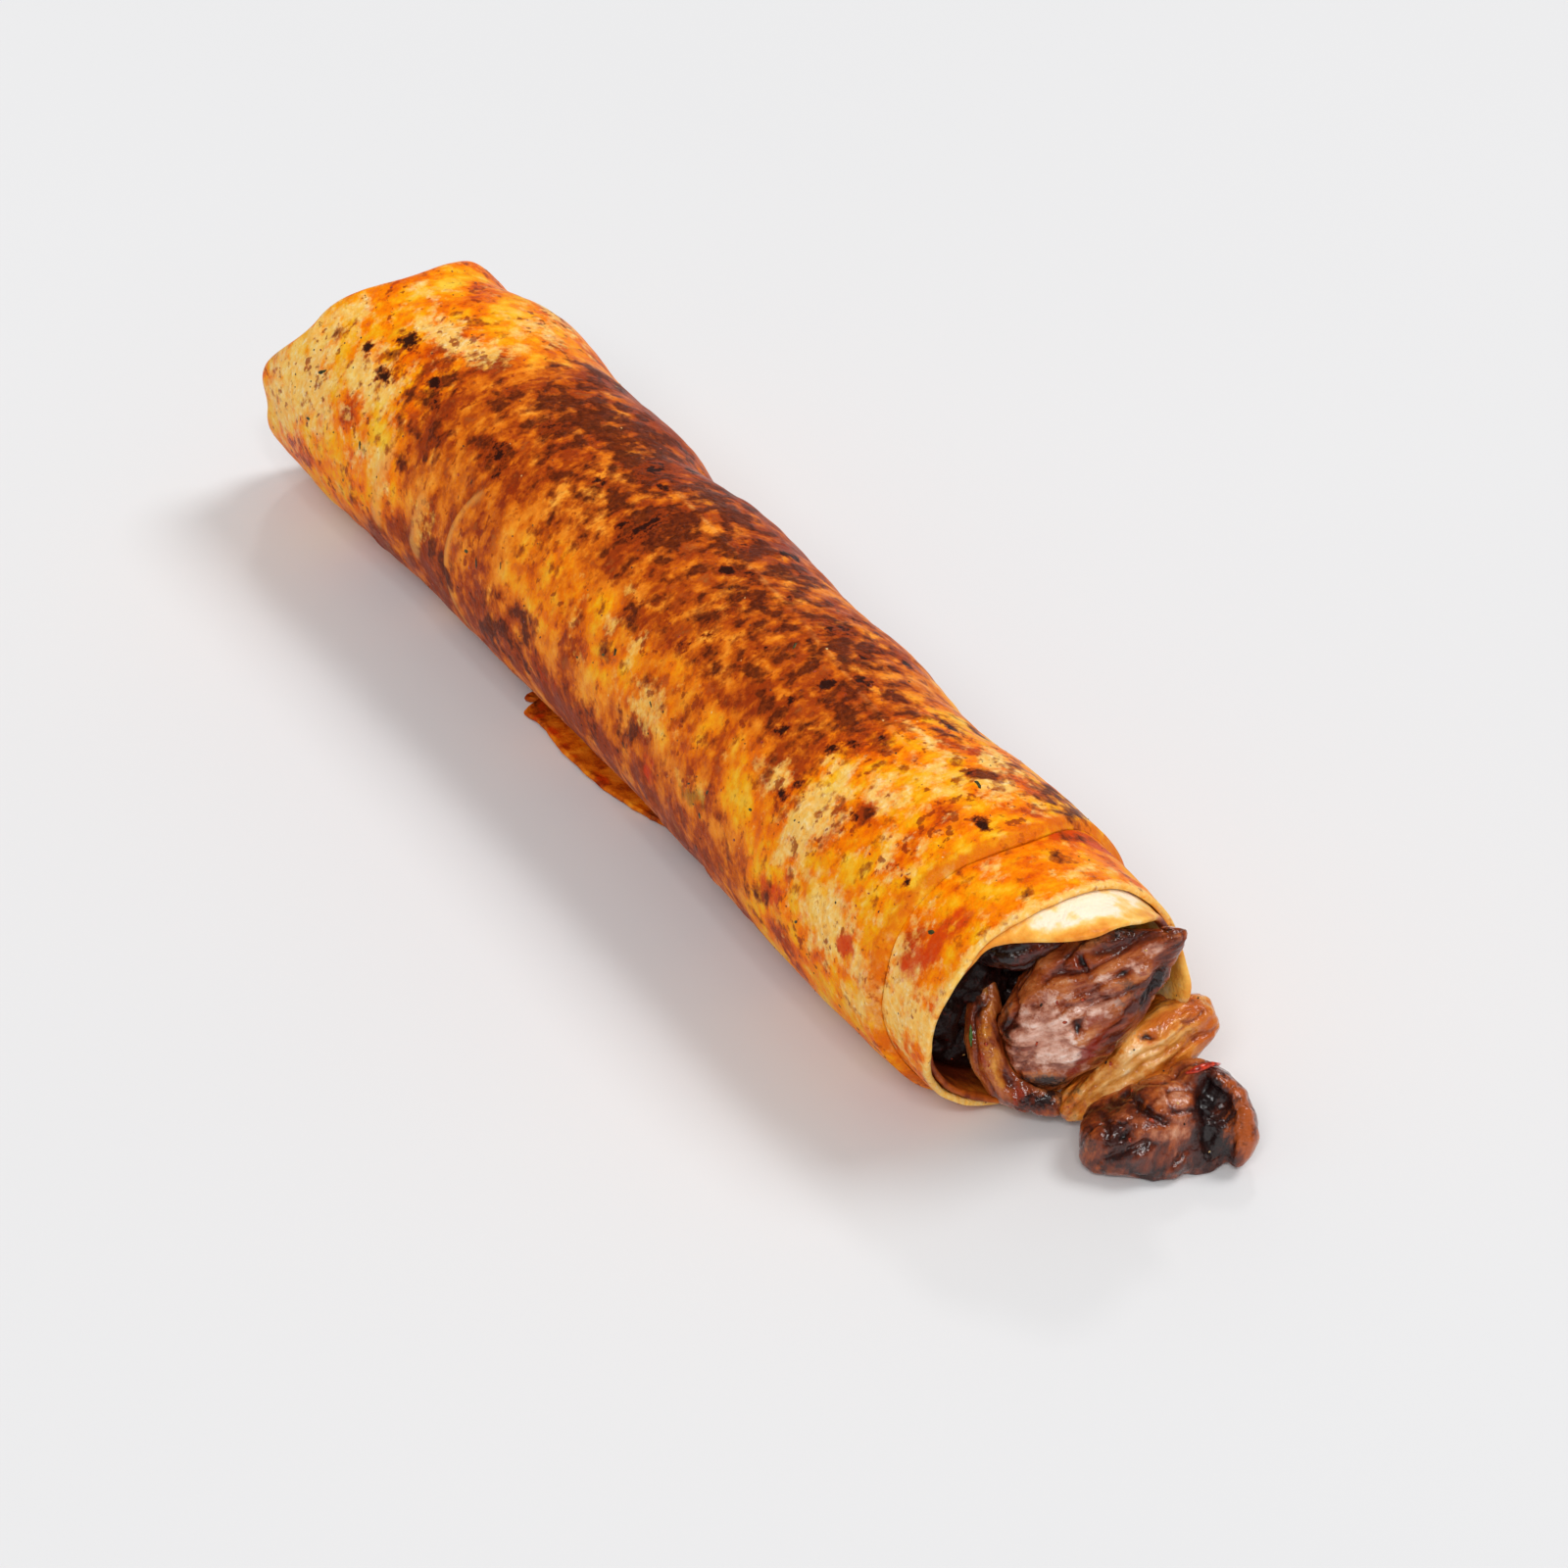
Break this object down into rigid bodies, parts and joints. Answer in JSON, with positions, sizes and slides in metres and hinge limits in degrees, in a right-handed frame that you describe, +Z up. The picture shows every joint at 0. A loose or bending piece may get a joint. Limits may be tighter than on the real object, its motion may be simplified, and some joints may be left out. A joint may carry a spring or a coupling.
{
  "type": "kebab wrap",
  "caption": "Long griddled lavash roll, folded shut at one end and open at the other, where pieces of grilled meat lean in the mouth and one has slid out on to the table.",
  "frame": {"origin": "middle of the footprint, on the table plane", "axes": "+X along the roll towards the open mouth, +Z up, seen from the mouth +Y is on the right"},
  "size_m": [0.3458, 0.0684, 0.0652],
  "materials": {
    "griddled_lavash": "thin wheat flatbread, oiled and griddled, with toasted bubbles",
    "oiled_lavash": "thin wheat flatbread stained with orange oil",
    "pale_lavash": "soft pale flatbread, floury",
    "packed_meat": "moist chopped grilled meat in shade",
    "grilled_meat": "grilled meat, fibrous, wet with juice",
    "fatty_meat": "pale fatty meat with a browned side",
    "glazed_meat": "glistening strip glazed with oil",
    "dark_meat": "dark red-brown grilled meat",
    "seared_meat": "seared meat with a glossy dark crust"
  },
  "bodies": {
    "root": {"lavash_outer": "griddled_lavash", "lavash_middle": "oiled_lavash", "lavash_inner": "pale_lavash", "filling": "packed_meat", "meat_large": "grilled_meat", "meat_fatty": "fatty_meat", "meat_side": "glazed_meat", "meat_inside": "dark_meat", "meat_front": "seared_meat"}
  },
  "joints": []
}
